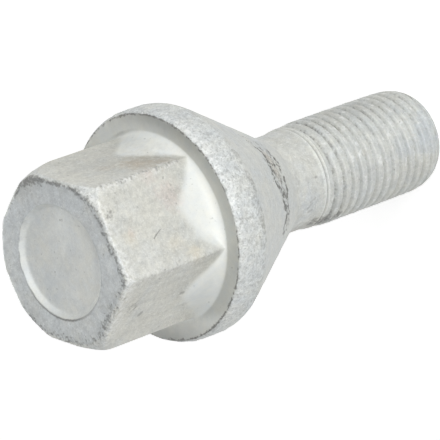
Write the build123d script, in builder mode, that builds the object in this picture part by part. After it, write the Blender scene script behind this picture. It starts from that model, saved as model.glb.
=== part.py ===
"""A forged car wheel bolt: hexagon head, collar, conical seat, neck and a shank for a metric thread.

The bolt stands on its thread end with the head up. Millimetres, +Z up, and the origin is the centre
of the flat thread end. The fine thread is drawn as the cylinder of its crests.
"""
import os
from math import cos, radians, sin, sqrt, tan

from build123d import *

# Hexagon head
across_flats = 21.0
hex_corner_radius = 0.5
head_height = 16.2
end_face_diameter = 19.3
end_round_radius = 5.6
end_round_start = 18.0
end_round_sweep = 42.0

# Shallow round recess in the head's end
recess_diameter = 14.4
recess_depth = 0.75
recess_draft = 0.5

# Concave shoulder between the flats and the collar
cove_radius = 8.5
cove_height = 5.35
cove_inset = 0.06

# Collar with a rolled upper edge, and the conical seat below it
collar_diameter = 30.0
collar_height = 4.3
collar_edge_radius = 2.2
collar_edge_height = 1.3
seat_edge_radius = 3.0
seat_angle = 60.0

# Shank: plain neck, thread run-out, thread and chamfered end
shank_length = 27.0
neck_diameter = 12.84
neck_fillet_radius = 2.5
thread_diameter = 13.86
thread_length = 20.0
runout_length = 3.2
tip_diameter = 11.0
tip_chamfer_angle = 30.0

# Radii and heights that follow from the sizes above
collar_radius = collar_diameter / 2
neck_radius = neck_diameter / 2
thread_radius = thread_diameter / 2
tip_radius = tip_diameter / 2
tip_chamfer_height = (thread_radius - tip_radius) / tan(radians(tip_chamfer_angle))
seat_height = (collar_radius - neck_radius) / tan(radians(seat_angle / 2))
collar_bottom = shank_length + seat_height
collar_top = collar_bottom + collar_height
head_top = collar_top + head_height

# The cove leaves the collar's top face at its foot and ends upright, just inside the flats
cove_waist = across_flats / 2 - cove_inset
cove_foot = cove_waist + cove_radius - sqrt(cove_radius**2 - cove_height**2)

# The rolled edge leaves the collar's side upright and meets the top face at this radius
collar_top_radius = collar_radius - collar_edge_radius + sqrt(collar_edge_radius**2 - collar_edge_height**2)

# Everything that is round about the axis, from the thread end up into the hexagon
with BuildPart() as turned_body:
    with BuildSketch(Plane.XZ) as turned_section:
        with BuildLine():
            shank_side = Polyline(
                (0, 0),
                (tip_radius, 0),
                (thread_radius, tip_chamfer_height),
                (thread_radius, thread_length),
                (neck_radius, thread_length + runout_length),
            )
            seat_side = FilletPolyline(
                shank_side @ 1,
                (neck_radius, shank_length),
                (collar_radius, collar_bottom),
                (collar_radius, collar_top - collar_edge_height),
                radius=[neck_fillet_radius, seat_edge_radius],
            )
            rolled_edge = RadiusArc(seat_side @ 1, (collar_top_radius, collar_top), -collar_edge_radius)
            top_face = Line(rolled_edge @ 1, (cove_foot, collar_top))
            cove = RadiusArc(top_face @ 1, (cove_waist, collar_top + cove_height), cove_radius)
            Polyline(cove @ 1, (0, collar_top + cove_height), (0, 0))
        make_face()
    revolve(axis=Axis.Z)

# The hexagon, with its end rounded off about the axis and a shallow recess sunk into it
with BuildPart() as hex_head:
    with BuildSketch(Plane.XY.offset(collar_bottom)) as hexagon:
        RegularPolygon(radius=across_flats / 2, side_count=6, major_radius=False)
        fillet(hexagon.vertices(), radius=hex_corner_radius)
    extrude(amount=collar_height + head_height)
    with BuildSketch(Plane.XZ) as end_section:
        with BuildLine():
            end_rounding = JernArc(
                start=(end_face_diameter / 2, head_top),
                tangent=(cos(radians(end_round_start)), -sin(radians(end_round_start))),
                radius=end_round_radius,
                arc_size=-end_round_sweep,
            )
            Polyline(
                end_rounding @ 1,
                (collar_radius, (end_rounding @ 1).Y),
                (collar_radius, collar_bottom),
                (0, collar_bottom),
                (0, head_top),
                end_rounding @ 0,
            )
        make_face()
    revolve(axis=Axis.Z, mode=Mode.INTERSECT)
    with BuildSketch(Plane.XZ) as recess_section:
        with BuildLine():
            Polyline(
                (0, head_top),
                (recess_diameter / 2, head_top),
                (recess_diameter / 2 - recess_draft, head_top - recess_depth),
                (0, head_top - recess_depth),
                close=True,
            )
        make_face()
    revolve(axis=Axis.Z, mode=Mode.SUBTRACT)

# The bolt is one forging
with BuildPart() as wheel_bolt:
    add(turned_body.part)
    add(hex_head.part)

os.makedirs("parts", exist_ok=True)
wheel_bolt.part.label = "wheel_bolt"
export_step(wheel_bolt.part, "parts/wheel_bolt.step")
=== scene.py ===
"""The wheel bolt as it looks: a helical thread, worn forged edges and a speckled zinc-flake coat.

The bolt stands on its thread end, with +Z from that end to the head. Lengths are millimetres unless a
name ends in _m or _M, and angles are degrees about +Z from +X, where one corner of the hexagon lies.
"""
from math import atan, cos, degrees, pi, radians, sin, tan

import bpy
import numpy as np
from mathutils import Matrix, Vector, noise


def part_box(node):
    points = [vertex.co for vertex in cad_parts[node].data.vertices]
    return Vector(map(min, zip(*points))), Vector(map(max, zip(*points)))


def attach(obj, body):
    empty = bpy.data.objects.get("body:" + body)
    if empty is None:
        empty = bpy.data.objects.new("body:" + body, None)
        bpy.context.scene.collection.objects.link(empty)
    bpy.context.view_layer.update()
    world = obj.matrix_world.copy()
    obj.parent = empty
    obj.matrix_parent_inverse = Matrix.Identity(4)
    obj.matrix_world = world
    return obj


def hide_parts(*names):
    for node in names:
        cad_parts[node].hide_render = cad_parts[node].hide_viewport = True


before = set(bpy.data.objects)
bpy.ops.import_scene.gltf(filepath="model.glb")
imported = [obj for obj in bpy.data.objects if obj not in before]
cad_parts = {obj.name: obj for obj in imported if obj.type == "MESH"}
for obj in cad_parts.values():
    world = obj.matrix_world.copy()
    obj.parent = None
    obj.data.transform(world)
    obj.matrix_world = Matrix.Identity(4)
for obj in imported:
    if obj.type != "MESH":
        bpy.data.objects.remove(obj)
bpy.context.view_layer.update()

MM = 0.001
NODE = "wheel_bolt"
node_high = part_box(NODE)[1]

# Hexagon head
HEAD_TOP = node_high.z / MM
HEAD_HEIGHT = 16.2
APOTHEM = 10.5
CORNER_RADIUS = 0.35
CORNER_REACH = 12.06

# The end face reaches this far out towards each corner, and drops this far beyond, to the corner's edge
END_INSET = 0.43
END_REACH = {0: 11.0, 60: 10.3, 120: 10.4, 180: 10.65, 240: 11.49, 300: 10.62}
END_DROP = {0: 4.5, 60: 3.4, 120: 3.2, 180: 1.5, 240: 1.1, 300: 1.75}
EVEN_REACH = 10.33
EVEN_DROP = 1.8
CORNER_SPREAD = 14.0
BEVEL_SHARE = 0.55

# Shallow round recess in the end face
RECESS_RADIUS = 7.28
RECESS_DEPTH = 0.68
RECESS_WALL = 0.69
RECESS_WALL_BEND = 0.6
RECESS_MIDDLE = 0.5

# Collar, cove and conical seat
COLLAR_RADIUS = node_high.y / MM
COLLAR_HEIGHT = 4.3
COLLAR_EDGE_RADIUS = 2.2
COLLAR_EDGE_HEIGHT = 1.25
COLLAR_DISH = 0.22
COVE_WAIST = 10.44
COVE_FOOT = 12.35
COVE_HEIGHT = 6.2
COVE_TURN = 80.0
SEAT_EDGE_RADIUS = 3.0
SEAT_HALF_ANGLE = 30.0
RIM_START = 13.0

# Neck and thread, with crests that the rolling dies left hollow along their middle
NECK_RADIUS = 6.42
NECK_FILLET_RADIUS = 2.5
CREST_RADIUS = 6.92
ROOT_RADIUS = 6.36
PITCH = 1.5
CREST_HALF_WIDTH = 0.3
ROOT_EDGE = 0.72
HOLLOW_HALF_WIDTH = 0.2
HOLLOW_DEPTH = 0.02
THREAD_START = -0.06
THREAD_TOP = 21.45
THREAD_TOP_RADIUS = 6.6
THREAD_DENT = 0.05
THREAD_DENT_SIZE = 0.8
RUNOUT_LENGTH = 2.9
GROOVE_RUNOUT = 1.3
TIP_RADIUS = 5.85
TIP_FADE = 1.05
TIP_SOFTNESS = 0.04
TIP_EDGE_HEIGHT = 0.12
NECK_TOP = 26.1

# Rings of the flat thread end, as radii and heights
TIP_RINGS = (
    (0.9, 0.0), (2.2, 0.0), (3.3, 0.0), (4.2, 0.0), (4.9, 0.0),
    (TIP_RADIUS - 0.15, 0.0), (TIP_RADIUS - 0.02, 0.035),
)

# Two fine ridges that the dies left round the neck: heights above the thread's top, added radii and crests
RIDGE_HEIGHTS = (0.06, 0.14, 0.22, 0.32, 0.44, 0.54, 0.66, 0.76, 0.86, 1.0, 1.15)
RIDGE_RADII = (0.2, 0.26, 0.24, 0.08, 0.02, 0.05, 0.17, 0.2, 0.13, 0.02, 0.0)
RIDGE_CRESTS = (0.16, 0.76)

# Heights that follow from the sizes above
COLLAR_TOP = HEAD_TOP - HEAD_HEIGHT
COLLAR_BOTTOM = COLLAR_TOP - COLLAR_HEIGHT
SEAT_FOOT = COLLAR_BOTTOM - (COLLAR_RADIUS - NECK_RADIUS) / tan(radians(SEAT_HALF_ANGLE))

# Mesh fineness: columns on each side of the hexagon, half as many on the shank, and rows in each stretch
HEAD_COLUMNS = 60
SHANK_COLUMNS = HEAD_COLUMNS // 2
COLUMN_CROWDING = 0.45
ROWS = dict(
    flank=4, neck=7, fillet=5, seat=30, seat_edge=5, rim_start=4, side=9, rolled_edge=8, collar_top=10,
    cove=13, flat=23, bevel=9, end_face=10, recess_wall=9, recess_floor=10,
)

# Edges that are rounded off: rows to either side and passes of averaging
EDGE_ROUNDING = dict(cove_foot=(1, 1), cove=(6, 16), end_edge=(5, 10), seam=(2, 2), recess_floor=(1, 1))

# Nicks along the collar's lip and the seam: size, reach from the edge, depth and span of their noise
NICK_SIZE = 0.5
NICK_REACH = 0.25
NICK_DEPTH = 0.16
NICK_START = 0.35
NICK_SPAN = 0.4

# How each zone of the coat looks: the strength of its specks and clouds, its tint, lightness and dents
ZONES = {
    "thread": dict(grain=0.5, mottle=0.6, warmth=0.5, tone=0.965),
    "neck": dict(grain=0.6, mottle=0.6, warmth=0.6, tone=0.968, dent=0.015, dent_size=1.5),
    "seat": dict(grain=0.5, mottle=0.4, warmth=0.5, tone=0.965, dent=0.035, dent_size=1.1),
    "rim": dict(grain=0.95, mottle=0.6, warmth=0.4, tone=1.055, dent=0.07, dent_size=0.7),
    "annulus": dict(grain=0.14, mottle=0.25, warmth=0.6, tone=0.99, dent=0.01, dent_size=1.2),
    # the cove's high tone is a painted highlight on its fans
    "cove": dict(grain=0.12, mottle=0.15, warmth=0.5, tone=1.2, dent=0.008, dent_size=1.5),
    "flat": dict(grain=0.58, mottle=0.32, warmth=0.75, tone=0.943, streak=1.0, dent=0.035, dent_size=2.0),
    "bevel": dict(grain=0.9, mottle=0.5, warmth=0.5, tone=1.06, dent=0.05, dent_size=0.6),
    "end": dict(grain=0.55, mottle=0.9, warmth=0.22, tone=1.01, dent=0.015, dent_size=1.2),
    "recess": dict(grain=0.3, mottle=0.35, warmth=0.42, tone=1.115, dent=0.012, dent_size=1.8),
}

# Distances from an edge are kept up to this far
FAR = 11.0

# Edges over which two zones pass into each other: the zone below, the zone above and half the width
PASSAGES = {
    "cove": ("cove", "flat", 0.8),
    "cove_foot": ("annulus", "cove", 0.3),
    "rim_edge": ("seat", "rim", 0.25),
}

# The cove's zone, with the painted highlight of its pale fans, reaches further up the flats at these angles
FAN_SHIFT = {250: 1.6, 340: 1.2}
FAN_SPREAD = 8.0


def eased(count):
    """Shares from 0 to 1, closer together at both ends."""
    return (1 - np.cos(pi * np.linspace(0, 1, count))) / 2


def smooth_step(value):
    """Goes smoothly from 0 to 1 as the value does."""
    value = np.clip(value, 0, 1)
    return value * value * (3 - 2 * value)


def column_angles(per_side):
    """Angles round the bolt, closer together at the hexagon's corners."""
    step = np.linspace(-1, 1, per_side, endpoint=False)
    offset = 30 * ((1 - COLUMN_CROWDING) * step + COLUMN_CROWDING * np.sin(step * pi / 2))
    return np.concatenate([offset + 30 + 60 * side for side in range(6)])


def hexagon_radius(angle):
    """Distance from the axis to the hexagon with rounded corners."""
    from_corner = np.abs((angle + 30) % 60 - 30)
    flat = APOTHEM / np.cos(np.radians(30 - from_corner))
    centre = (APOTHEM - CORNER_RADIUS) / cos(radians(30))
    round_reach = 30 - degrees(atan(centre * sin(radians(30)) / APOTHEM))
    turn = np.radians(np.minimum(from_corner, round_reach))
    corner = centre * np.cos(turn) + np.sqrt(CORNER_RADIUS**2 - (centre * np.sin(turn)) ** 2)
    return np.where(from_corner < round_reach, corner, flat)


def around_axis(angles, radii, heights):
    """Points of the bolt from angles, radii and heights."""
    turn = np.radians(angles)
    return np.stack(np.broadcast_arrays(radii * np.cos(turn), radii * np.sin(turn), heights), axis=-1)


def near_places(angle, by_place, even, spread):
    """A value round the bolt that is even but for a few places, each with its own value."""
    value = np.full_like(angle, even)
    for place, own in by_place.items():
        away = (angle - place + 180) % 360 - 180
        value += (own - even) * np.exp(-((away / spread) ** 2))
    return value


def arc(centre, radius, start, end, count):
    """Radii and heights along an arc of the profile."""
    turn = np.radians(np.linspace(start, end, count))
    return centre[0] + radius * np.cos(turn), centre[1] + radius * np.sin(turn)


def straight(start, end, shares):
    """Radii and heights along a straight stretch of the profile."""
    return start[0] + (end[0] - start[0]) * shares, start[1] + (end[1] - start[1]) * shares


class Profile:
    """Rows of radius and height over the head, each in a zone, and which of them are edges."""

    def __init__(self, angles):
        self.angles = angles
        self.radii, self.heights, self.zones = [], [], []
        self.edges = {}

    def add(self, zone, radii, heights, edge=None):
        """Adds rows, of which the last may be an edge."""
        for radius, height in zip(radii, heights):
            self.radii.append(np.broadcast_to(radius, self.angles.shape))
            self.heights.append(np.broadcast_to(height, self.angles.shape))
            self.zones.append(zone)
        if edge:
            self.edges[edge] = len(self.zones) - 1

    def freeze(self):
        """Turns the rows into arrays."""
        self.radii, self.heights = np.array(self.radii), np.array(self.heights)

    def soften(self, edge, reach, passes):
        """Rounds off an edge by averaging neighbouring rows."""
        rows = np.arange(self.edges[edge] - reach, self.edges[edge] + reach + 1)
        for values in (self.radii, self.heights):
            for _ in range(passes):
                values[rows] = (values[rows - 1] + 2 * values[rows] + values[rows + 1]) / 4

    def path_from(self, edge):
        """Distance along the profile from an edge, positive towards the neck."""
        steps = np.hypot(np.diff(self.radii, axis=0), np.diff(self.heights, axis=0))
        path = np.vstack([np.zeros(len(self.angles)), np.cumsum(steps, axis=0)])
        return path[self.edges[edge]] - path

    def by_zone(self, quality):
        """One number for each row, taken from its zone."""
        return np.array([ZONES[zone].get(quality, 0.0) for zone in self.zones])

    def blended(self, quality):
        """One number for each point, from its zone, passing softly into the next zone at some edges."""
        values = self.by_zone(quality)[:, None] * np.ones(len(self.angles))
        for edge, (below, above, reach) in PASSAGES.items():
            lower = np.arange(len(self.zones))[:, None] <= self.edges[edge]
            shift = near_places(self.angles, FAN_SHIFT, 0.0, FAN_SPREAD) if edge == "cove" else 0.0
            share = smooth_step(0.5 + (self.path_from(edge) + shift) / (2 * reach))
            step = ZONES[below].get(quality, 0.0) - ZONES[above].get(quality, 0.0)
            values += step * (share - lower)
        return values

    def dent(self, depths):
        """Sinks every point along the profile's normal, never outwards."""
        along_r, along_z = np.gradient(self.radii, axis=0), np.gradient(self.heights, axis=0)
        length = np.hypot(along_r, along_z)
        self.radii = self.radii - depths * along_z / length
        self.heights = self.heights + depths * along_r / length


def cloud(points, size):
    """Smooth noise between 0 and 1 at points in millimetres, with spots of a size."""
    scaled = points / np.reshape(size, (-1,) + (1,) * (points.ndim - 1))
    values = np.array([noise.noise(Vector(p)) for p in scaled.reshape(-1, 3)])
    return np.clip(0.5 + values, 0, 1).reshape(points.shape[:-1])


def head_profile(angles):
    """The profile from the neck up over the collar and the hexagon into the recess."""
    hexagon = hexagon_radius(angles)
    profile = Profile(angles)

    lean = SEAT_HALF_ANGLE
    foot_run = NECK_FILLET_RADIUS * tan(radians(lean / 2))
    edge_run = SEAT_EDGE_RADIUS * tan(radians(lean / 2))
    fillet_centre = (NECK_RADIUS + NECK_FILLET_RADIUS, SEAT_FOOT - foot_run)
    seat_edge_centre = (COLLAR_RADIUS - SEAT_EDGE_RADIUS, COLLAR_BOTTOM + edge_run)
    rolled_centre = (COLLAR_RADIUS - COLLAR_EDGE_RADIUS, COLLAR_TOP - COLLAR_EDGE_HEIGHT)
    rolled_sweep = degrees(np.arcsin(COLLAR_EDGE_HEIGHT / COLLAR_EDGE_RADIUS))
    fillet = arc(fillet_centre, NECK_FILLET_RADIUS, 180, 180 - lean, ROWS["fillet"])
    seat_edge = arc(seat_edge_centre, SEAT_EDGE_RADIUS, -lean, -RIM_START, ROWS["seat_edge"])
    rim_start = arc(seat_edge_centre, SEAT_EDGE_RADIUS, -RIM_START, 0, ROWS["rim_start"])
    rolled = arc(rolled_centre, COLLAR_EDGE_RADIUS, 0, rolled_sweep, ROWS["rolled_edge"])
    profile.add("neck", *fillet)
    seat_start, seat_end = (fillet[0][-1], fillet[1][-1]), (seat_edge[0][0], seat_edge[1][0])
    profile.add("seat", *straight(seat_start, seat_end, np.linspace(0, 1, ROWS["seat"])[1:-1]))
    profile.add("seat", *seat_edge, edge="rim_edge")
    profile.add("rim", rim_start[0][1:], rim_start[1][1:])
    side_start, side_end = (COLLAR_RADIUS, rim_start[1][-1]), (COLLAR_RADIUS, rolled[1][0])
    profile.add("rim", *straight(side_start, side_end, np.linspace(0, 1, ROWS["side"])[1:-1]))
    profile.add("rim", *rolled, edge="lip")

    foot_height = COLLAR_TOP - COLLAR_DISH
    lip, foot = (rolled[0][-1], COLLAR_TOP), (COVE_FOOT, foot_height)
    profile.add("annulus", *straight(lip, foot, eased(ROWS["collar_top"])[1:]), edge="cove_foot")

    foot_turn = radians(COVE_TURN)
    cove_width = (COVE_FOOT - COVE_WAIST) / (1 - cos(foot_turn))
    cove_end = np.arccos(1 - (hexagon - COVE_WAIST) / cove_width)
    turns = [foot_turn + (cove_end - foot_turn) * share for share in eased(ROWS["cove"])[1:]]
    cove_radii = [COVE_WAIST + cove_width * (1 - np.cos(turn)) for turn in turns]
    cove_heights = [foot_height + COVE_HEIGHT * (1 - np.sin(turn) / sin(foot_turn)) for turn in turns]
    profile.add("cove", cove_radii, cove_heights, edge="cove")

    reach = np.minimum(near_places(angles, END_REACH, EVEN_REACH, CORNER_SPREAD), hexagon - END_INSET)
    drop = near_places(angles, END_DROP, EVEN_DROP, CORNER_SPREAD)

    def bevel_height(radius):
        """Height of the rounded end of the hexagon."""
        share = np.clip((radius - reach) / (CORNER_REACH - reach), 0, 1)
        return HEAD_TOP - drop * (BEVEL_SHARE * share + (1 - BEVEL_SHARE) * (1 - np.sqrt(1 - share**2)))

    flat_foot, flat_end = cove_heights[-1], bevel_height(hexagon)
    flat_heights = [flat_foot + (flat_end - flat_foot) * share for share in eased(ROWS["flat"])[1:]]
    profile.add("flat", [hexagon] * len(flat_heights), flat_heights, edge="end_edge")
    bevel_radii = [hexagon + (reach - hexagon) * share for share in eased(ROWS["bevel"])[1:]]
    profile.add("bevel", bevel_radii, [bevel_height(radius) for radius in bevel_radii], edge="seam")

    recess_low = HEAD_TOP - RECESS_DEPTH
    crisp = 0.995
    face_shares = np.concatenate([eased(ROWS["end_face"])[1:-1], [crisp, 1.0]])
    face_radii = [reach + (RECESS_RADIUS - reach) * share for share in face_shares]
    profile.add("end", face_radii, [HEAD_TOP] * len(face_radii), edge="recess")
    wall = np.concatenate([[1 - crisp], np.linspace(0, 1, ROWS["recess_wall"])[1:]])
    bend = RECESS_WALL_BEND
    fall = np.where(wall < bend, 2 * wall / (1 + bend), 1 - (1 - wall) ** 2 / (1 - bend**2))
    wall_heights = HEAD_TOP - RECESS_DEPTH * fall
    profile.add("recess", RECESS_RADIUS - RECESS_WALL * wall, wall_heights, edge="recess_floor")
    floor_start, floor_end = (RECESS_RADIUS - RECESS_WALL, recess_low), (RECESS_MIDDLE, recess_low)
    profile.add("recess", *straight(floor_start, floor_end, np.linspace(0, 1, ROWS["recess_floor"])[1:]))
    profile.freeze()
    return profile


def thread_share(angle, height):
    """Distance from the nearest crest along the axis, and a share from 0 there to 1 at the root."""
    turn = ((height - THREAD_START) / PITCH - angle / 360) % 1
    from_crest = np.abs(turn - 0.5) * PITCH
    return from_crest, smooth_step((from_crest - CREST_HALF_WIDTH) / (ROOT_EDGE - CREST_HALF_WIDTH))


def thread_radius(angle, height):
    """Radius of the thread's surface, with its run-out into the neck and its chamfered end."""
    from_crest, share = thread_share(angle, height)
    hollow = HOLLOW_DEPTH * (1 - smooth_step(from_crest / HOLLOW_HALF_WIDTH))
    fill = smooth_step((THREAD_TOP - height) / RUNOUT_LENGTH)
    depth = (CREST_RADIUS - ROOT_RADIUS) * share + hollow
    crest = THREAD_TOP_RADIUS + (CREST_RADIUS - THREAD_TOP_RADIUS) * fill
    surface = crest - depth * smooth_step((THREAD_TOP - height) / GROOVE_RUNOUT)
    chamfer = CREST_RADIUS - (CREST_RADIUS - TIP_RADIUS) * np.exp(-height / TIP_FADE)
    return -TIP_SOFTNESS * np.logaddexp(-surface / TIP_SOFTNESS, -chamfer / TIP_SOFTNESS)


class Skin:
    """A closed mesh grown ring by ring from the thread end up to the middle of the head."""

    def __init__(self):
        self.points = []
        self.faces = []

    def ring(self, angles, radii, heights):
        """Adds one ring of points and returns their numbers."""
        first = len(self.points)
        self.points.extend(around_axis(angles, radii, heights))
        return np.arange(first, len(self.points))

    def bridge(self, low, high):
        """Joins two rings with as many points each."""
        for a, b, c, d in zip(low, np.roll(low, -1), np.roll(high, -1), high):
            self.faces.append((a, b, c, d))

    def grow(self, low, angles, radii, heights):
        """Adds a ring above another, joins the two and returns the new one."""
        ring = self.ring(angles, radii, heights)
        self.bridge(low, ring)
        return ring

    def double(self, low, high):
        """Joins a ring to one above it that has twice as many points."""
        middle, after = high[1::2], np.roll(high[::2], -1)
        for a, b, left, top, right in zip(low, np.roll(low, -1), high[::2], middle, after):
            self.faces.extend([(a, b, top), (a, top, left), (b, right, top)])

    def close(self, ring, height, upwards):
        """Closes a ring with a fan of triangles to a point on the axis."""
        centre = len(self.points)
        self.points.append((0.0, 0.0, height))
        for a, b in zip(ring, np.roll(ring, -1)):
            self.faces.append((a, b, centre) if upwards else (b, a, centre))

    def helix(self, angles, bottom, top, low, high, phases):
        """Fills the space between two rings with rows that climb with the thread."""
        margin, spare_turns = 0.02, 3
        low_turn, high_turn = (low - THREAD_START) / PITCH, (high - THREAD_START) / PITCH
        starts = range(int(low_turn) - spare_turns, int(high_turn) + 1)
        rows = [start + phase for start in starts for phase in phases if start + phase <= high_turn]
        numbers = np.zeros((len(rows) + len(phases) + 1, len(angles)), int)
        numbers[:] = top
        for i, row in enumerate(rows):
            heights = THREAD_START + PITCH * (row + angles / 360)
            radii = thread_radius(angles, heights)
            dents = THREAD_DENT * cloud(around_axis(angles, radii, heights), THREAD_DENT_SIZE)
            for j, point in enumerate(around_axis(angles, radii - dents, heights)):
                if heights[j] <= low + margin:
                    numbers[i, j] = bottom[j]
                elif heights[j] < high - margin:
                    numbers[i, j] = len(self.points)
                    self.points.append(point)
        last = len(angles) - 1
        for j in range(len(angles)):
            right, climb = (j + 1, 0) if j < last else (0, len(phases))
            for i in range(len(rows)):
                shifted = min(i + climb, len(numbers) - 2)
                right_low, right_high = numbers[shifted, right], numbers[shifted + 1, right]
                corners = list(dict.fromkeys((numbers[i, j], right_low, right_high, numbers[i + 1, j])))
                if len(corners) > 2:
                    self.faces.append(tuple(corners))


def thread_phases():
    """Places along one pitch where the thread's profile needs a row: crest, flanks and root."""
    flank = np.linspace(CREST_HALF_WIDTH, ROOT_EDGE, ROWS["flank"])
    from_crest = np.concatenate([[0.5 * HOLLOW_HALF_WIDTH, HOLLOW_HALF_WIDTH], flank]) / PITCH
    return [0.0] + sorted(0.5 - from_crest) + [0.5] + sorted(0.5 + from_crest)


def grow_shank(skin, angles):
    """The flat end, the thread, the two ridges above it and the neck; returns the topmost ring."""
    ring = skin.ring(angles, *TIP_RINGS[0])
    skin.close(ring, 0.0, upwards=False)
    for radius, height in TIP_RINGS[1:]:
        ring = skin.grow(ring, angles, radius, height)
    thread_foot = skin.grow(ring, angles, thread_radius(angles, TIP_EDGE_HEIGHT), TIP_EDGE_HEIGHT)
    ring = skin.ring(angles, THREAD_TOP_RADIUS, THREAD_TOP)
    skin.helix(angles, thread_foot, ring, TIP_EDGE_HEIGHT, THREAD_TOP, thread_phases())
    for rise, added in zip(RIDGE_HEIGHTS, RIDGE_RADII):
        ring = skin.grow(ring, angles, NECK_RADIUS + added, THREAD_TOP + rise)
    for height in np.linspace(THREAD_TOP + RIDGE_HEIGHTS[-1], NECK_TOP, ROWS["neck"])[1:-1]:
        ring = skin.grow(ring, angles, NECK_RADIUS, height)
    return ring


def worn_head(angles):
    """The head's profile with its edges rounded, its zones dented and two edges nicked."""
    profile = head_profile(angles)
    for edge, (reach, passes) in EDGE_ROUNDING.items():
        profile.soften(edge, reach, passes)
    points = around_axis(angles, profile.radii, profile.heights)
    depths = profile.by_zone("dent")[:, None] * cloud(points, profile.by_zone("dent_size"))
    nicks = smooth_step((cloud(points, np.full(len(points), NICK_SIZE)) - NICK_START) / NICK_SPAN)
    for edge, dirt_and_shade in (("lip", LIP_DIRT_AND_SHADE), ("seam", SEAM_DIRT)):
        closeness = np.exp(-((profile.path_from(edge) / NICK_REACH) ** 2))
        depths = depths + NICK_DEPTH * closeness * nicks * np.interp(angles % 360, *zip(*dirt_and_shade))
    profile.dent(depths)
    return profile


def bolt_skin():
    """The whole forging as one closed mesh, with the qualities of its coat on its points."""
    skin = Skin()
    neck = grow_shank(skin, column_angles(SHANK_COLUMNS))
    angles = column_angles(HEAD_COLUMNS)
    profile = worn_head(angles)
    ring = skin.ring(angles, NECK_RADIUS, NECK_TOP)
    skin.double(neck, ring)
    head_start = len(skin.points)
    for row_radii, row_heights in zip(profile.radii, profile.heights):
        ring = skin.grow(ring, angles, row_radii, row_heights)
    head_end = len(skin.points)
    skin.close(ring, HEAD_TOP - RECESS_DEPTH, upwards=True)

    mesh = bpy.data.meshes.new("bolt_skin")
    mesh.from_pydata([Vector(p) * MM for p in skin.points], [], [tuple(map(int, f)) for f in skin.faces])
    mesh.shade_smooth()

    points = np.array(skin.points)
    turns, heights = np.degrees(np.arctan2(points[:, 1], points[:, 0])), points[:, 2]

    def store(name, over_head, on_thread=0.0, on_neck=0.0):
        """Puts a number on every point of the mesh."""
        values = np.where(heights < THREAD_TOP, on_thread, on_neck).astype(np.float32)
        values[head_start:head_end] = np.ravel(over_head)
        values[head_end:] = over_head[-1, -1]
        mesh.attributes.new(name, "FLOAT", "POINT").data.foreach_set("value", values)

    for quality in ("grain", "mottle", "warmth", "tone"):
        store(quality, profile.blended(quality), ZONES["thread"][quality], ZONES["neck"][quality])
    store("streak", profile.blended("streak"))
    for edge in ("rim_edge", "lip", "cove_foot", "seam", "recess"):
        store(edge, np.clip(profile.path_from(edge), -FAR, FAR), FAR, FAR)
    groove = thread_share(turns, heights)[1] * smooth_step((THREAD_TOP - heights) / GROOVE_RUNOUT)
    groove[np.hypot(points[:, 0], points[:, 1]) < TIP_RADIUS] = 0
    mesh.attributes.new("groove", "FLOAT", "POINT").data.foreach_set("value", groove.astype(np.float32))
    mesh.update()
    piece = bpy.data.objects.new("bolt_skin", mesh)
    bpy.context.scene.collection.objects.link(piece)
    return piece


# How far closeness lifts the noise of the crumbs, and where the noise turns into dirt
CRUMB_PUSH = 0.5
CRUMB_EDGE = (0.66, 1.0)


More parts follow.
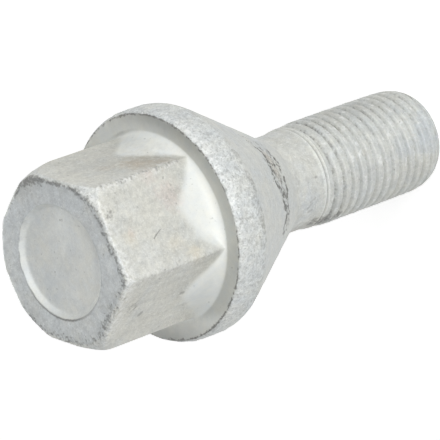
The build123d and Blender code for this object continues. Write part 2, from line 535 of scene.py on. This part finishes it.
class Coat:
    """Adds nodes to one material and links them, one short call for each."""

    def __init__(self, name):
        self.material = bpy.data.materials.new(name)
        self.material.use_nodes = True
        self.nodes, self.links = self.material.node_tree.nodes, self.material.node_tree.links
        self.shader = self.nodes["Principled BSDF"]
        self.place = self.nodes.new("ShaderNodeTexCoord").outputs["Object"]
        self.angle, self.height = self.around()
        self.crumbs = self.total(self.noise(size=0.36, detail=3.0), self.sway(size=1.0, width=0.3))

    def put(self, socket, value):
        """Links another socket into this one, or writes a plain value into it."""
        if isinstance(value, bpy.types.NodeSocket):
            self.links.new(value, socket)
        else:
            socket.default_value = value

    def math(self, operation, first, second):
        """One sum on two numbers."""
        node = self.nodes.new("ShaderNodeMath")
        node.operation = operation
        self.put(node.inputs[0], first)
        self.put(node.inputs[1], second)
        return node.outputs[0]

    def chain(self, operation, values):
        """One sum on each number and the result so far."""
        result = values[0]
        for value in values[1:]:
            result = self.math(operation, result, value)
        return result

    def product(self, *factors):
        """All factors multiplied."""
        return self.chain("MULTIPLY", factors)

    def total(self, *terms):
        """All terms added."""
        return self.chain("ADD", terms)

    def most(self, *values):
        """The greatest of some numbers."""
        return self.chain("MAXIMUM", values)

    def ramp(self, value, start, end, low=0.0, high=1.0):
        """Goes smoothly from low to high as the value goes from start to end."""
        node = self.nodes.new("ShaderNodeMapRange")
        node.interpolation_type = "SMOOTHSTEP"
        for socket, number in zip(node.inputs[:5], (value, start, end, low, high)):
            self.put(socket, number)
        return node.outputs["Result"]

    def near(self, value, reach):
        """1 where the value is zero, and 0 where it is further from zero than the reach."""
        return self.ramp(self.math("ABSOLUTE", value, 0.0), reach, 0.0)

    def noise(self, size, detail=2.0, place=None):
        """Cloudy noise about 0.5, with spots of a size in millimetres."""
        node = self.nodes.new("ShaderNodeTexNoise")
        self.put(node.inputs["Vector"], place or self.place)
        node.inputs["Scale"].default_value = 1 / (size * MM)
        node.inputs["Detail"].default_value = detail
        return node.outputs["Fac"]

    def vector(self, operation, first, second=(0, 0, 0)):
        """A node with one sum on two vectors."""
        node = self.nodes.new("ShaderNodeVectorMath")
        node.operation = operation
        self.put(node.inputs[0], first)
        self.put(node.inputs[1], second)
        return node

    def stretched(self, factors):
        """The place on the bolt with each axis stretched by a factor."""
        return self.vector("MULTIPLY", self.place, factors).outputs[0]

    def sway(self, size, width):
        """Noise that swings about zero, by half a width either way."""
        return self.product(self.math("SUBTRACT", self.noise(size), 0.5), 2 * width)

    def crumbled(self, closeness):
        """Breaks an even closeness into crumbs: nearly all dirt at 1, broken up at a half and none at 0."""
        return self.ramp(self.total(self.crumbs, self.product(closeness, CRUMB_PUSH)), *CRUMB_EDGE)

    def quality(self, name):
        """A number that the mesh carries on its points."""
        node = self.nodes.new("ShaderNodeAttribute")
        node.attribute_name = name
        return node.outputs["Fac"]

    def blend(self, share, first, second):
        """One colour, passing into another as the share goes from 0 to 1."""
        node = self.nodes.new("ShaderNodeMix")
        node.data_type = "RGBA"
        self.put(node.inputs["Factor"], share)
        for socket, colour in zip([s for s in node.inputs if s.type == "RGBA"], (first, second)):
            self.put(socket, colour if isinstance(colour, bpy.types.NodeSocket) else (*colour, 1))
        return next(s for s in node.outputs if s.type == "RGBA")

    def scaled(self, colour, factor):
        """A colour made lighter or darker."""
        node = self.vector("SCALE", colour)
        self.put(node.inputs["Scale"], factor)
        return node.outputs[0]

    def distance(self, point, stretch=(1, 1, 1)):
        """Distance in millimetres from a point of the bolt, with each axis stretched by a factor."""
        shifted = self.vector("SUBTRACT", self.place, Vector(point) * MM).outputs[0]
        stretched = self.vector("MULTIPLY", shifted, Vector(stretch) / MM).outputs[0]
        return self.vector("LENGTH", stretched).outputs["Value"]

    def around(self):
        """Angle about the axis in degrees from 0 to 360, and height in millimetres."""
        split = self.nodes.new("ShaderNodeSeparateXYZ")
        self.put(split.inputs[0], self.place)
        angle = self.math("ARCTAN2", split.outputs["Y"], split.outputs["X"])
        degrees_up = self.math("FLOORED_MODULO", self.math("MULTIPLY", angle, degrees(1)), 360.0)
        return degrees_up, self.math("MULTIPLY", split.outputs["Z"], 1 / MM)

    def curve(self, points, span=(0.0, 360.0), reach=(0.0, 1.0)):
        """A number within the reach, read off a line of points by the angle, which lies in the span."""
        node = self.nodes.new("ShaderNodeFloatCurve")
        node.mapping.use_clip = False
        (start, end), (low, high) = span, reach
        line = node.mapping.curves[0]
        spots = [((x - start) / (end - start), (y - low) / (high - low)) for x, y in points]
        line.points[0].location = spots[0]
        line.points[-1].location = spots[-1]
        for spot in spots[1:-1]:
            line.points.new(*spot)
        for point in line.points:
            point.handle_type = "VECTOR"
        node.mapping.update()
        share = self.math("DIVIDE", self.math("SUBTRACT", self.angle, start), end - start)
        self.put(node.inputs["Value"], share)
        return self.total(self.product(node.outputs[0], high - low), low)


# Colours of the coat, of what lies on it, and of painted shade
COOL_GREY = (0.545, 0.575, 0.585)
WARM_GREY = (0.632, 0.63, 0.575)
FLECK = (0.86, 0.87, 0.86)
DIRT_AND_SHADE = (0.13, 0.128, 0.118)
GRIME_AND_SHADE = (0.33, 0.32, 0.28)
RUST = (0.5, 0.415, 0.31)
ROSE = (0.63, 0.545, 0.5)
OCHRE = (0.61, 0.54, 0.4)
HAZE = (0.53, 0.57, 0.6)

# How rough and metallic the coat is, and how deep its grain and pits look
ROUGHNESS = 0.45
METALLIC = 0.25
BUMP_STRENGTH = 0.6
BUMP_DEPTH = 0.036

# How strongly each pattern shows in the coat's colour; the fan, crest and ridge patterns are painted
# highlights
CLOUD_STRENGTH = 0.5
STREAK_STRENGTH = 0.3
FAN_HIGHLIGHT_STRENGTH = 0.16
GRAIN_STRENGTH = 1.4
FLECK_STRENGTH = 0.6
WEAR_STRENGTH = 0.6
CREST_HIGHLIGHT_STRENGTH = 0.55
RIDGE_HIGHLIGHT_STRENGTH = 0.4

# How dark each kind of dirt and painted shade is at its densest; beside_seam is a soft darker band
DARKNESS = dict(
    seam=0.65, beside_seam=0.16, lip=0.75, collar_shade=0.52, crease_shade=0.4, recess=0.75, rim_edge=0.45,
    blotch=0.5, crack=0.92, crumbs=0.55, ridge_gap_shade=0.35,
)

# Dirt and painted shade along the edges, as angles about the axis and shares: 1 is a dark line, a half is a
# row of crumbs
SEAM_DIRT = (
    (0, 1.0), (10, 0.85), (22, 0.5), (50, 0.1), (100, 0.2), (113, 0.75), (150, 0.6), (185, 0.58),
    (235, 0.62), (243, 0.7), (290, 0.7), (299, 0.65), (306, 0.8), (312, 1.0), (360, 1.0),
)
SEAM_WIDTH = (
    (0, 0.7), (20, 0.25), (90, 0.3), (110, 0.5), (160, 0.6), (190, 0.8), (236, 0.8), (245, 0.5),
    (294, 0.5), (302, 0.6), (311, 0.3), (340, 0.3), (352, 0.7), (360, 0.7),
)
# The lip's dark line is dirt in its nicks and painted shade under the lip; the same shares set the nicks'
# depth
LIP_DIRT_AND_SHADE = (
    (0, 0.7), (14, 0.6), (40, 0.5), (140, 0.6), (154, 0.85), (193, 0.95), (212, 0.8), (229, 0.65),
    (245, 0.55), (259, 0.55), (271, 0.6), (286, 0.75), (301, 0.9), (347, 0.95), (360, 0.7),
)
# Painted shade round the recess's rim, strongest on its lower side
RECESS_SHADE = (
    (0, 0.0), (90, 0.2), (112, 0.6), (130, 0.85), (165, 1.0), (185, 0.6), (208, 0.3), (246, 0.2),
    (290, 0.1), (330, 0.0), (360, 0.0),
)
RIM_EDGE_DIRT = (
    (0, 0.3), (215, 0.35), (240, 0.5), (252, 0.65), (265, 0.7), (276, 0.6), (290, 0.45), (305, 0.3),
    (360, 0.3),
)
# Painted shade in the crease at the cove's foot
CREASE_SHADE = ((0, 0.9), (8, 0.4), (18, 0.0), (335, 0.0), (348, 0.5), (356, 1.0), (360, 0.9))

# Painted shade on the collar's top face, bright wear below its lip and beside the seam, painted highlight
# on the cove's fans
COLLAR_SHADE = (
    (0, 0.25), (9, 0.05), (30, 0.2), (140, 0.6), (162, 0.75), (178, 0.3), (188, 0.0), (215, 0.0),
    (235, 0.05), (262, 0.28), (295, 0.55), (310, 0.75), (331, 1.0), (345, 0.6), (360, 0.25),
)
RIM_WEAR = (
    (0, 0.3), (230, 0.3), (252, 0.55), (272, 0.85), (292, 1.0), (312, 1.0), (326, 0.7), (345, 0.35),
    (360, 0.3),
)
RIM_PITS = ((0, 0.4), (230, 0.4), (245, 0.7), (255, 1.0), (275, 1.0), (290, 0.6), (310, 0.4), (360, 0.4))
# Painted highlight on the cove's fans, by angle
FAN_HIGHLIGHT = (
    (0, 0.2), (200, 0.1), (225, 0.2), (246, 0.6), (256, 0.15), (270, 0.0), (300, 0.1), (318, 0.8),
    (335, 0.9), (350, 0.6), (360, 0.2),
)
SEAM_WEAR = (
    (0, 0.2), (180, 0.4), (205, 0.8), (236, 0.8), (242, 0.8), (290, 0.7), (300, 0.8), (308, 0.5),
    (320, 0.15), (360, 0.2),
)

# Cracks that the wheel wore into the seat, as angles and heights, and how dark they are
UPPER_CRACK = (
    (226, 33.7), (234, 33.9), (241, 32.7), (253, 33.1), (258, 32.8), (267, 34.2), (280, 33.6),
    (291, 33.2), (298, 34.7), (310, 34.2),
)
LOWER_CRACK = ((227, 31.7), (247, 31.9), (260, 31.1), (273, 31.0), (284, 30.6), (307, 31.4))
CRACK_DIRT = (
    (0, 0.0), (224, 0.0), (230, 0.75), (240, 0.95), (250, 1.0), (260, 1.0), (267, 0.9), (275, 1.0),
    (285, 1.0), (296, 0.8), (306, 0.5), (312, 0.0), (360, 0.0),
)
CRACK_SPAN = (225.0, 311.0)
CRACK_REACH = (30.0, 36.0)

# Stains, films and painted shade: place, radius, strength, colour and, where it is long, the stretch of the
# three axes
STAINS = (
    ((9.4, -5.0, 52.0), 8.5, 0.2, GRIME_AND_SHADE),
    ((7.6, -7.8, 50.0), 4.0, 0.3, GRIME_AND_SHADE),
    ((7.5, -8.1, 51.7), 3.4, 0.5, RUST),
    ((8.4, -6.45, 55.39), 1.8, 0.25, RUST),
    ((6.63, -9.51, 48.76), 1.9, 0.35, RUST),
    ((2.34, -10.5, 51.17), 2.9, 0.5, ROSE),
    ((5.4, -10.5, 53.0), 1.8, 0.4, ROSE),
    ((-0.51, -10.5, 58.9), 1.0, 0.4, ROSE),
    ((-4.2, -10.5, 57.8), 3.4, 0.16, FLECK),
    ((-0.9, -10.5, 59.5), 1.6, 0.3, OCHRE),
    ((-5.4, -10.5, 50.6), 1.8, 0.35, OCHRE),
    ((-3.4, -10.5, 52.9), 2.0, 0.25, OCHRE),
    ((-5.0, 1.5, 61.7), 3.6, 0.12, FLECK),
    ((-0.5, -1.1, 61.7), 3.0, 0.12, GRIME_AND_SHADE),
    ((2.67, -9.2, 32.47), 1.7, 0.4, RUST),
    ((0.6, -9.6, 32.3), 1.6, 0.3, RUST),
    ((-4.2, -4.9, 24.8), 3.6, 0.5, HAZE),
    ((-1.0, -6.8, 3.2), 4.0, 0.7, HAZE),
    ((1.8, -6.6, 1.6), 2.4, 0.5, HAZE),
    ((-2.17, -6.5, 7.76), 2.0, 0.4, HAZE),
    # painted shade along the thread's top outline and the neck's lower outline
    ((5.58, -4.05, 12.0), 3.0, 0.2, GRIME_AND_SHADE, (1, 1, 0.2)),
    ((-6.36, -0.89, 24.0), 2.2, 0.5, GRIME_AND_SHADE, (1, 1, 0.5)),
    ((-6.6, -1.1, 20.8), 1.5, 0.5, DIRT_AND_SHADE, (1, 1, 0.6)),
    ((11.0, -2.0, 58.1), 2.6, 0.12, GRIME_AND_SHADE),
    ((-3.6, 8.8, 62.2), 3.0, 0.12, GRIME_AND_SHADE),
    ((10.4, 0.8, 62.0), 3.4, 0.28, GRIME_AND_SHADE),
)

# Scratches and small dark marks: start, end, half their width and strength
SCRATCHES = (
    ((-1.95, -10.5, 55.9), (-1.6, -10.5, 55.35), 0.17, 0.6),
    ((-1.55, -10.5, 55.2), (-1.2, -10.5, 54.5), 0.13, 0.5),
    ((-4.0, -5.0, 24.9), (-3.7, -5.2, 24.1), 0.25, 0.25),
    ((-4.6, -4.5, 25.3), (-4.2, -4.8, 24.6), 0.3, 0.25),
    ((-5.0, -4.0, 25.0), (-4.9, -4.1, 24.5), 0.3, 0.3),
    ((4.57, -10.5, 50.94), (4.67, -10.5, 50.84), 0.2, 0.35),
    ((3.9, -14.48, 42.0), (4.1, -14.43, 42.0), 0.6, 0.25),
    ((-9.62, -4.34, 57.58), (-9.5, -4.55, 57.3), 0.45, 0.4),
    ((-8.98, -5.45, 51.0), (-8.98, -5.45, 50.7), 0.4, 0.4),
    ((-1.33, -6.28, 23.65), (-1.33, -6.28, 23.5), 0.25, 0.4),
    ((-2.1, -9.5, 32.7), (-1.8, -10.0, 33.5), 0.4, 0.45),
    ((-4.1, -8.8, 32.8), (-4.6, -8.2, 32.3), 0.25, 0.45),
    ((-5.3, -8.3, 33.0), (-4.7, -8.6, 32.8), 0.25, 0.4),
    ((2.0, -9.0, 31.9), (1.7, -9.2, 32.2), 0.3, 0.45),
)

# Loose crumbs of dirt: place, radius and how close together they lie
CRUMB_SPOTS = (
    ((-6.2, -1.7, 23.0), 1.6, 0.9),
    ((-6.5, -1.6, 20.8), 2.2, 1.0),
    ((-6.6, -1.8, 18.8), 1.6, 0.9),
    ((4.6, -9.6, 47.9), 1.2, 0.6),
    ((-5.9, -8.9, 57.0), 1.6, 0.5),
    ((-8.6, -6.1, 59.5), 2.0, 0.5),
    ((2.5, -10.5, 60.9), 1.5, 0.55),
)

# Corners of the hexagon that are worn bright, and how much
WORN_CORNERS = {300: 0.8, 240: 0.45}


def corner_line(coat, reach):
    """Rises towards the hexagon's worn corners, from nothing at a reach from them."""
    lines = []
    for turn, wear in WORN_CORNERS.items():
        corner = (CORNER_REACH * cos(radians(turn)), CORNER_REACH * sin(radians(turn)), 0)
        lines.append(coat.ramp(coat.distance(corner, (1, 1, 0)), reach, 0.1 * reach, 0.0, wear))
    return coat.product(coat.most(*lines), coat.ramp(coat.height, COLLAR_TOP + 0.8, COLLAR_TOP + 2.0))


def coat_colour(coat, grain):
    """Greys in clouds, with stains, painted shade along two outlines, a painted highlight on the cove's
    fans, grain and white flecks; also returns the grain and its coarse part.
    """
    warm_share = coat.total(
        coat.quality("warmth"), coat.sway(size=3.2, width=0.4), coat.sway(size=0.85, width=0.25)
    )
    colour = coat.blend(coat.ramp(warm_share, 0.0, 1.0), COOL_GREY, WARM_GREY)
    ragged, ragged_share = coat.sway(size=0.75, width=1.0), 0.6
    for place, radius, strength, tint, *stretch in STAINS:
        edge = coat.total(coat.distance(place, *stretch), coat.product(ragged, ragged_share * radius))
        colour = coat.blend(coat.product(coat.ramp(edge, radius, 0.0), strength), colour, tint)
    fine, coarse = coat.noise(size=0.2, detail=3.0), coat.noise(size=0.6, detail=3.0)
    rough = coat.total(coat.product(fine, 0.5), coat.product(coarse, 0.5), -0.5)
    small_clouds, large_clouds = coat.noise(size=1.3, detail=3.0), coat.noise(size=4.0)
    clouds = coat.total(small_clouds, coat.product(large_clouds, 0.6), -0.8)
    cloudy = coat.product(clouds, coat.quality("mottle"), CLOUD_STRENGTH)
    lengthwise = coat.noise(size=0.9, detail=3.0, place=coat.stretched((1, 1, 0.12)))
    streaks = coat.product(coat.total(lengthwise, -0.5), coat.quality("streak"), STREAK_STRENGTH)
    tone = coat.quality("tone")
    # painted highlight, mostly on the cove's fans
    fan_highlight = coat.product(coat.ramp(tone, 1.02, 1.2), coat.curve(FAN_HIGHLIGHT), FAN_HIGHLIGHT_STRENGTH)
    lightness = coat.total(1.0, cloudy, streaks, fan_highlight, coat.product(rough, grain, GRAIN_STRENGTH))
    colour = coat.scaled(colour, coat.product(tone, lightness))
    flecks = coat.product(coat.ramp(coat.noise(size=0.25), 0.58, 0.7), grain, FLECK_STRENGTH)
    return coat.blend(flecks, colour, FLECK), rough, coarse


def bright_wear_and_highlights(coat):
    """Bright worn metal by the collar's lip and the seam and on two corners, and painted highlights on the
    thread's crests and the ridges.
    """
    lip, seam = coat.quality("lip"), coat.quality("seam")
    lip_band = coat.product(coat.ramp(lip, -0.1, 0.2), coat.ramp(lip, 2.4, 0.6))
    seam_band = coat.product(coat.ramp(seam, -0.5, 0.3), coat.ramp(seam, 2.4, 0.8))
    worn = coat.most(
        coat.product(lip_band, coat.curve(RIM_WEAR)),
        coat.product(seam_band, coat.curve(SEAM_WEAR)),
        corner_line(coat, reach=1.1),
    )
    broken = coat.ramp(coat.noise(size=0.45, detail=3.0), 0.4, 0.66)
    above_root = coat.ramp(coat.quality("groove"), 0.2, 0.0)
    # painted highlight along the thread's crests, broken up by noise
    crest_highlights = coat.product(above_root, coat.ramp(coat.height, THREAD_TOP, THREAD_TOP - 1))
    flecks = coat.ramp(coat.noise(size=0.9, detail=3.0), 0.55, 0.72)
    # painted highlight along the crests of the two ridges
    above_thread = coat.total(coat.height, -THREAD_TOP)
    ridge_highlights = coat.most(*(coat.near(coat.total(above_thread, -rise), 0.16) for rise in RIDGE_CRESTS))
    return coat.most(
        coat.product(worn, broken, WEAR_STRENGTH),
        coat.product(crest_highlights, flecks, CREST_HIGHLIGHT_STRENGTH),
        coat.product(ridge_highlights, RIDGE_HIGHLIGHT_STRENGTH),
    )


def pits(coat, grain):
    """Dark specks in the grain, and larger blotches on the collar's rim."""
    rim = coat.product(coat.ramp(grain, 0.85, 1.0), coat.curve(RIM_PITS))
    depth = coat.total(coat.product(grain, 0.32), coat.product(rim, 0.2))
    specks = coat.product(coat.ramp(coat.noise(size=0.34, detail=3.0), 0.46, 0.28), grain, depth)
    blotches = coat.product(coat.ramp(coat.noise(size=0.75, detail=4.0), 0.45, 0.3), rim)
    return coat.most(specks, coat.product(blotches, DARKNESS["blotch"]))


def edge_dirt_and_shade(coat):
    """Dirt in the seam and by the collar's rim, a soft darker band beside the seam, dirt and painted shade
    along the lip, and painted shade on the collar's top face, at the cove's foot and round the recess.
    """
    seam, lip = coat.quality("seam"), coat.quality("lip")
    seam_width = coat.product(coat.curve(SEAM_WIDTH), 2.0)
    seam_share = coat.curve(SEAM_DIRT)
    off_seam = coat.total(seam, coat.sway(size=0.9, width=0.25), coat.product(seam_width, 0.2))
    beside = coat.product(coat.ramp(seam, -1.4, 0.0), coat.ramp(seam, 0.3, 0.05))
    lip_share = coat.curve(LIP_DIRT_AND_SHADE)
    lip_width = coat.total(coat.product(lip_share, 0.3), 0.15)
    off_lip = coat.total(lip, coat.sway(size=0.5, width=0.15), 0.1)
    # painted shade on the collar's top face, darker towards the lip
    collar_shade = coat.product(coat.ramp(lip, -2.6, -0.1), coat.ramp(lip, 0.1, -0.1))
    off_crease = coat.total(coat.quality("cove_foot"), coat.sway(size=0.8, width=0.15))
    off_recess = coat.total(coat.quality("recess"), coat.sway(size=0.6, width=0.12), -0.06)
    off_rim = coat.total(coat.quality("rim_edge"), coat.sway(size=1.2, width=1.0))
    rim_share = coat.curve(RIM_EDGE_DIRT)
    kinds = dict(
        seam=coat.crumbled(coat.product(coat.near(off_seam, seam_width), seam_share)),
        # a soft darker band on the end face beside the seam
        beside_seam=coat.product(beside, coat.ramp(seam_share, 0.4, 0.9)),
        # dirt and painted shade along the collar's lip
        lip=coat.crumbled(coat.product(coat.near(off_lip, lip_width), lip_share)),
        # painted shade on the collar's top face
        collar_shade=coat.product(collar_shade, coat.curve(COLLAR_SHADE)),
        # painted shade in the crease at the cove's foot
        crease_shade=coat.product(coat.near(off_crease, 0.5), coat.curve(CREASE_SHADE)),
        # painted shade round the recess's rim
        recess=coat.product(coat.near(off_recess, 0.28), coat.curve(RECESS_SHADE)),
        rim_edge=coat.crumbled(coat.product(coat.near(off_rim, 1.4), rim_share)),
    )
    return coat.most(*(coat.product(dirt_and_shade, DARKNESS[kind]) for kind, dirt_and_shade in kinds.items()))


def crack_dirt(coat):
    """Two broken cracks round the seat, with crumbs between them."""
    upper, lower = (
        coat.math("SUBTRACT", coat.height, coat.curve(line, CRACK_SPAN, CRACK_REACH))
        for line in (UPPER_CRACK, LOWER_CRACK)
    )
    wander = coat.sway(size=0.6, width=0.6)
    upper_line = coat.near(coat.total(upper, wander), 1.0)
    lower_line = coat.product(coat.near(coat.total(lower, wander), 0.85), 0.9)
    between = coat.product(coat.ramp(upper, 0.3, -0.3), coat.ramp(lower, -0.3, 0.3), 0.62)
    gaps = coat.ramp(coat.noise(size=0.8), 0.36, 0.52, 0.55, 1.0)
    lines = coat.most(between, upper_line, lower_line)
    closeness = coat.product(lines, gaps, coat.curve(CRACK_DIRT))
    return coat.product(coat.crumbled(closeness), DARKNESS["crack"])


def scratch_dirt(coat):
    """Short scratches and dots, each a row of spots that run together."""
    spots = []
    for start, end, half_width, strength in SCRATCHES:
        count = 2 + int((Vector(end) - Vector(start)).length / half_width)
        for share in np.linspace(0, 1, count):
            away = coat.distance(Vector(start).lerp(Vector(end), share))
            spots.append(coat.ramp(away, half_width, 0.3 * half_width, 0.0, strength))
    return coat.most(*spots)


def spot_dirt(coat):
    """Loose crumbs in a few places and along the worn corners."""
    spots = [coat.product(corner_line(coat, reach=0.8), 0.6)]
    for place, radius, closeness in CRUMB_SPOTS:
        spots.append(coat.ramp(coat.distance(place), radius, 0.2 * radius, 0.0, closeness))
    return coat.product(coat.crumbled(coat.most(*spots)), DARKNESS["crumbs"])


def groove_dirt_and_shade(coat):
    """Crumbs in the grooves, most in the first turns and on one side, painted shade in the grooves, and
    painted shade between the ridges.
    """
    groove = coat.quality("groove")
    first_turns = coat.ramp(coat.height, THREAD_TOP - 6, THREAD_TOP - 1)
    dark_side = coat.ramp(coat.angle, 265.0, 320.0)
    dirtier = coat.total(first_turns, dark_side)
    share = coat.total(coat.product(dirtier, 0.25), 0.5)
    depth = coat.total(coat.product(dirtier, 0.2), 0.25)
    # painted shade in every groove, deeper on one side
    groove_shade = coat.product(groove, coat.total(coat.product(dark_side, 0.03), 0.05))
    crumbs = coat.product(coat.crumbled(coat.product(groove, share)), depth)
    mid_ridges = THREAD_TOP + sum(RIDGE_CRESTS) / 2
    # painted shade in the groove between the two ridges
    between_ridges = coat.near(coat.total(coat.height, -mid_ridges), 0.22)
    return coat.most(coat.total(crumbs, groove_shade), coat.product(between_ridges, DARKNESS["ridge_gap_shade"]))


def coat_material():
    """Matt zinc-flake coat: mottled grey with specks, wear, pits, cracks, dirt and stains, with painted
    shade and painted highlights.
    """
    coat = Coat("zinc_flake_coat")
    grain = coat.quality("grain")
    colour, rough, coarse = coat_colour(coat, grain)
    colour = coat.blend(bright_wear_and_highlights(coat), colour, FLECK)
    kinds = edge_dirt_and_shade, crack_dirt, scratch_dirt, spot_dirt, groove_dirt_and_shade
    dirt_and_shade = coat.most(pits(coat, grain), *(kind(coat) for kind in kinds))
    coat.put(coat.shader.inputs["Base Color"], coat.blend(dirt_and_shade, colour, DIRT_AND_SHADE))

    # Rougher under the dirt and the painted shade, and a bump for the grain and the pits
    gloss_loss = coat.total(coat.product(coarse, 0.12), coat.product(grain, 0.15), coat.product(dirt_and_shade, 0.2))
    coat.put(coat.shader.inputs["Roughness"], coat.total(ROUGHNESS, gloss_loss))
    coat.shader.inputs["Metallic"].default_value = METALLIC
    relief = coat.total(coat.product(rough, grain), coat.product(dirt_and_shade, -0.8))
    bump = coat.nodes.new("ShaderNodeBump")
    bump.inputs["Strength"].default_value = BUMP_STRENGTH
    bump.inputs["Distance"].default_value = BUMP_DEPTH * MM
    coat.put(bump.inputs["Height"], relief)
    coat.put(coat.shader.inputs["Normal"], bump.outputs[0])
    return coat.material


bolt = bolt_skin()
bolt.data.materials.append(coat_material())
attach(bolt, "root")
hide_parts(NODE)

# Camera at the photo's viewing angle
CAMERA_AZIMUTH = -4.013
CAMERA_ELEVATION = 41.494
CAMERA_ROLL = 109.989
CAMERA_DISTANCE = 503.936
CAMERA_AIM = Vector((-1.84, 0.129, 35.625))
CAMERA_LENS = 328.69
CAMERA_REACH_M = (0.01, 10)


def camera_axes():
    """Unit vectors to the right of the picture, to its top and back towards the camera."""
    a, e, roll = radians(CAMERA_AZIMUTH), radians(CAMERA_ELEVATION), radians(CAMERA_ROLL)
    back = Vector((sin(a) * cos(e), -cos(a) * cos(e), sin(e)))
    side = Vector((0, 0, 1)).cross(back).normalized()
    upright = back.cross(side)
    side = upright.cross(back)
    up = upright * cos(roll) + side * sin(roll)
    return up.cross(back), up, back


right, up, back = camera_axes()
camera = bpy.data.objects.new("camera", bpy.data.cameras.new("camera"))
bpy.context.scene.collection.objects.link(camera)
camera.data.lens = CAMERA_LENS
camera.data.clip_start, camera.data.clip_end = CAMERA_REACH_M
place = (CAMERA_AIM + back * CAMERA_DISTANCE) * MM
turn = Matrix((right, up, back)).transposed().to_4x4()
camera.matrix_world = Matrix.Translation(place) @ turn
bpy.context.scene.camera = camera

# Light from all round, and the white floor just below the bolt
AMBIENT = 0.25
WHITE = (1, 1, 1, 1)
FLOOR_PAINT = (0.9, 0.9, 0.9, 1)
FLOOR_GLOW = 0.5
FLOOR_HALF_M = 1.0
FLOOR_GAP_M = 0.00002

# Lamps: direction as shares of the picture's right, its top and the way to the camera, and watts
LAMP_DISTANCE_M = 0.85
LAMP_SIZE_M = 0.51
LAMPS = {
    "front": ((0.3, 0.2, 1.0), 2.95),
    "left": ((-0.6, 0.3, 0.8), 0.87),
    "top": ((0.0, 1.0, 0.6), 1.73),
    "low_right": ((0.5, -0.6, 0.8), 1.59),
    "overhead": ((-1.0, -0.3, 0.3), 0.29),
}

# A small lamp behind the bolt, with its direction in the bolt's own axes
REAR_DIRECTION = Vector((0.2, 1.0, 0.12))
REAR_DISTANCE_M = 0.5
REAR_SIZE_M = 0.1
REAR_WATTS = 0.7


def seen_or_mirrored(nodes, links):
    """A socket that is 1 for rays from the camera and for mirrored and transmitted rays."""
    path = nodes.new("ShaderNodeLightPath")
    result = path.outputs["Is Camera Ray"]
    for kind in ("Is Glossy Ray", "Is Transmission Ray"):
        either = nodes.new("ShaderNodeMath")
        either.operation = "MAXIMUM"
        links.new(result, either.inputs[0])
        links.new(path.outputs[kind], either.inputs[1])
        result = either.outputs[0]
    return result


def make_world():
    """White behind everything, and soft light from all round."""
    world = bpy.data.worlds.new("studio")
    world.use_nodes = True
    nodes, links = world.node_tree.nodes, world.node_tree.links
    ambient = nodes["Background"]
    ambient.inputs["Strength"].default_value = AMBIENT
    ambient.inputs["Color"].default_value = WHITE
    white = nodes.new("ShaderNodeBackground")
    white.inputs["Color"].default_value = WHITE
    mix = nodes.new("ShaderNodeMixShader")
    links.new(seen_or_mirrored(nodes, links), mix.inputs["Fac"])
    links.new(ambient.outputs[0], mix.inputs[1])
    links.new(white.outputs[0], mix.inputs[2])
    links.new(mix.outputs[0], nodes["World Output"].inputs["Surface"])
    bpy.context.scene.world = world


def make_floor():
    """A plain white floor that keeps the bolt's shadow."""
    corners = [(x * FLOOR_HALF_M, y * FLOOR_HALF_M, 0) for x, y in ((-1, -1), (1, -1), (1, 1), (-1, 1))]
    mesh = bpy.data.meshes.new("floor")
    mesh.from_pydata(corners, [], [(0, 1, 2, 3)])
    floor = bpy.data.objects.new("floor", mesh)
    bpy.context.scene.collection.objects.link(floor)
    floor.location.z = -FLOOR_GAP_M
    material = bpy.data.materials.new("floor_white")
    material.use_nodes = True
    nodes, links = material.node_tree.nodes, material.node_tree.links
    nodes.remove(nodes["Principled BSDF"])
    paint = nodes.new("ShaderNodeBsdfDiffuse")
    paint.inputs["Color"].default_value = FLOOR_PAINT
    glow = nodes.new("ShaderNodeEmission")
    glow.inputs["Color"].default_value = WHITE
    share = nodes.new("ShaderNodeMath")
    share.operation = "MULTIPLY"
    share.inputs[1].default_value = FLOOR_GLOW
    links.new(seen_or_mirrored(nodes, links), share.inputs[0])
    links.new(share.outputs[0], glow.inputs["Strength"])
    both = nodes.new("ShaderNodeAddShader")
    links.new(paint.outputs[0], both.inputs[0])
    links.new(glow.outputs[0], both.inputs[1])
    links.new(both.outputs[0], nodes["Material Output"].inputs["Surface"])
    mesh.materials.append(material)


def soft_box(name, towards, distance_m, size_m, watts):
    """A square area lamp that looks at the bolt from a direction."""
    lamp = bpy.data.lights.new(name, "AREA")
    lamp.shape = "SQUARE"
    lamp.size = size_m
    lamp.energy = watts
    holder = bpy.data.objects.new(name, lamp)
    bpy.context.scene.collection.objects.link(holder)
    direction = towards.normalized()
    holder.location = CAMERA_AIM * MM + direction * distance_m
    holder.rotation_mode = "QUATERNION"
    holder.rotation_quaternion = (-direction).to_track_quat("-Z", "Y")


make_world()
make_floor()
for name, ((to_right, to_top, to_camera), watts) in LAMPS.items():
    towards = to_right * right + to_top * up + to_camera * back
    soft_box(name, towards, LAMP_DISTANCE_M, LAMP_SIZE_M, watts)
soft_box("rear", REAR_DIRECTION, REAR_DISTANCE_M, REAR_SIZE_M, REAR_WATTS)

bpy.context.scene.view_settings.view_transform = "Standard"
